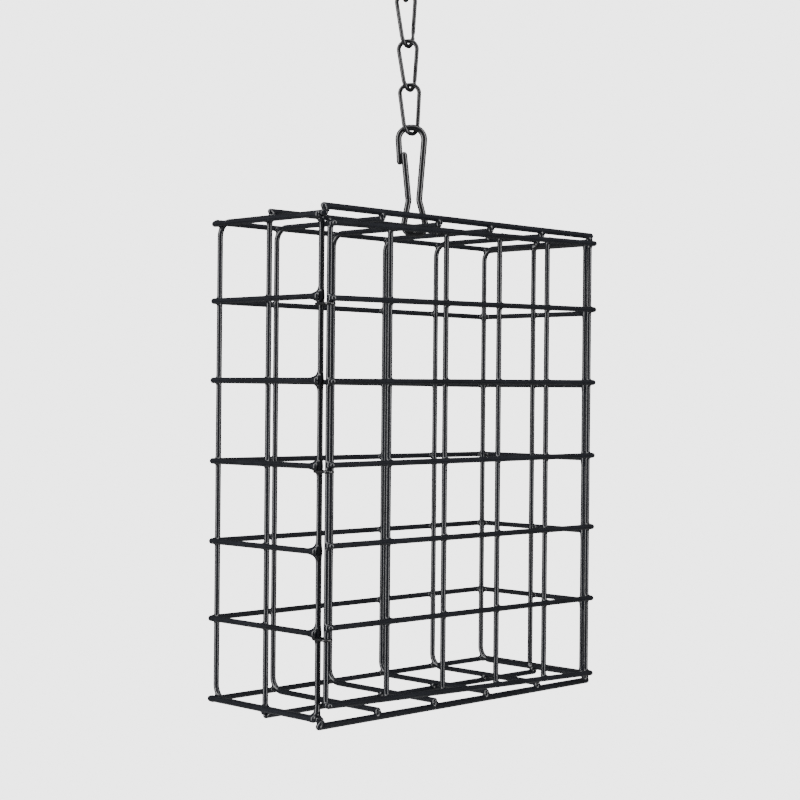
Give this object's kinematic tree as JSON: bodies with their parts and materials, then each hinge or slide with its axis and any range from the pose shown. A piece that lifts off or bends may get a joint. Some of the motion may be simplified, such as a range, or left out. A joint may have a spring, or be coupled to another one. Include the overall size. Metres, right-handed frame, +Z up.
{
  "type": "hanging bird feeder",
  "caption": "Hanging welded-wire cage feeder for a seed or suet cake, with a side-hinged front, on a spring snap clip, twisted-link chain and hanging hook.",
  "frame": {"origin": "the point inside the hanging hook's bowl that rests on the branch or peg", "axes": "+Z up, +X along the cage's width to the right when facing the door, -Y out of the door"},
  "size_m": [0.1718, 0.0745, 0.336],
  "materials": {
    "mesh_coating": "black vinyl coating over welded steel wire, satin-gloss",
    "door_coating": "black vinyl coating over welded steel wire, satin-gloss",
    "clip_wire": "black lacquered spring steel, gloss",
    "chain_wire": "black lacquered steel, satin-gloss"
  },
  "bodies": {
    "hook": {"hanging_hook": "chain_wire"},
    "link_1": {"chain_link_1": "chain_wire"},
    "link_2": {"chain_link_2": "chain_wire"},
    "link_3": {"chain_link_3": "chain_wire"},
    "clip": {"snap_clip": "clip_wire"},
    "gate": {"clip_gate": "clip_wire"},
    "cage": {"back_row_1": "mesh_coating", "back_row_2": "mesh_coating", "back_row_3": "mesh_coating", "back_row_4": "mesh_coating", "back_row_5": "mesh_coating", "back_row_6": "mesh_coating", "back_row_7": "mesh_coating", "floor_front_wire": "mesh_coating", "floor_middle_wire": "mesh_coating", "folded_wire_1": "mesh_coating", "folded_wire_2": "mesh_coating", "folded_wire_3": "mesh_coating", "folded_wire_4": "mesh_coating", "folded_wire_5": "mesh_coating", "folded_wire_6": "mesh_coating", "hinge_ring_1": "chain_wire", "hinge_ring_2": "chain_wire", "hinge_ring_3": "chain_wire", "left_front_upright": "mesh_coating", "left_middle_upright": "mesh_coating", "left_side_rail_1": "mesh_coating", "left_side_rail_2": "mesh_coating", "left_side_rail_3": "mesh_coating", "left_side_rail_4": "mesh_coating", "left_side_rail_5": "mesh_coating", "left_side_rail_6": "mesh_coating", "left_side_rail_7": "mesh_coating", "right_front_upright": "mesh_coating", "right_middle_upright": "mesh_coating", "right_side_rail_1": "mesh_coating", "right_side_rail_2": "mesh_coating", "right_side_rail_3": "mesh_coating", "right_side_rail_4": "mesh_coating", "right_side_rail_5": "mesh_coating", "right_side_rail_6": "mesh_coating", "right_side_rail_7": "mesh_coating", "top_front_wire": "mesh_coating", "top_middle_wire": "mesh_coating"},
    "door": {"door_rail_1": "door_coating", "door_rail_2": "door_coating", "door_rail_3": "door_coating", "door_rail_4": "door_coating", "door_rail_5": "door_coating", "door_rail_6": "door_coating", "door_rail_7": "door_coating", "door_upright_1": "door_coating", "door_upright_2": "door_coating", "door_upright_3": "door_coating", "door_upright_4": "door_coating", "door_upright_5": "door_coating", "door_upright_6": "door_coating"}
  },
  "joints": [
    {"name": "hook_swing", "type": "hinge", "parent": "hook", "child": "link_1", "pos_m": [0.00099, -0.00099, -0.0287], "axis": [0.7071, 0.7071, 0], "range_deg": [-45, 45]},
    {"name": "upper_chain_swing", "type": "hinge", "parent": "link_1", "child": "link_2", "pos_m": [0.00163, -0.00163, -0.04702], "axis": [0.4226, -0.9063, 0], "range_deg": [-45, 45]},
    {"name": "lower_chain_swing", "type": "hinge", "parent": "link_2", "child": "link_3", "pos_m": [0.00236, -0.00236, -0.06832], "axis": [0.9397, 0.342, 0], "range_deg": [-45, 45]},
    {"name": "clip_swing", "type": "hinge", "parent": "link_3", "child": "clip", "pos_m": [0.00293, -0.00293, -0.08485], "axis": [0.7071, -0.7071, 0], "range_deg": [-45, 45]},
    {"name": "gate_flex", "type": "hinge", "parent": "clip", "child": "gate", "pos_m": [0.00233, -0.00233, -0.11535], "axis": [0.7071, 0.7071, 0], "range_deg": [0, 14], "stiffness_Nm_per_rad": 0.2},
    {"name": "cage_rock", "type": "hinge", "parent": "clip", "child": "cage", "pos_m": [0.00444, -0.00444, -0.12835], "axis": [1, 0, 0], "range_deg": [-60, 60]},
    {"name": "door_hinge", "type": "hinge", "parent": "cage", "child": "door", "pos_m": [-0.07786, -0.03874, -0.22955], "axis": [0, 0, -1], "range_deg": [0, 115]}
  ]
}
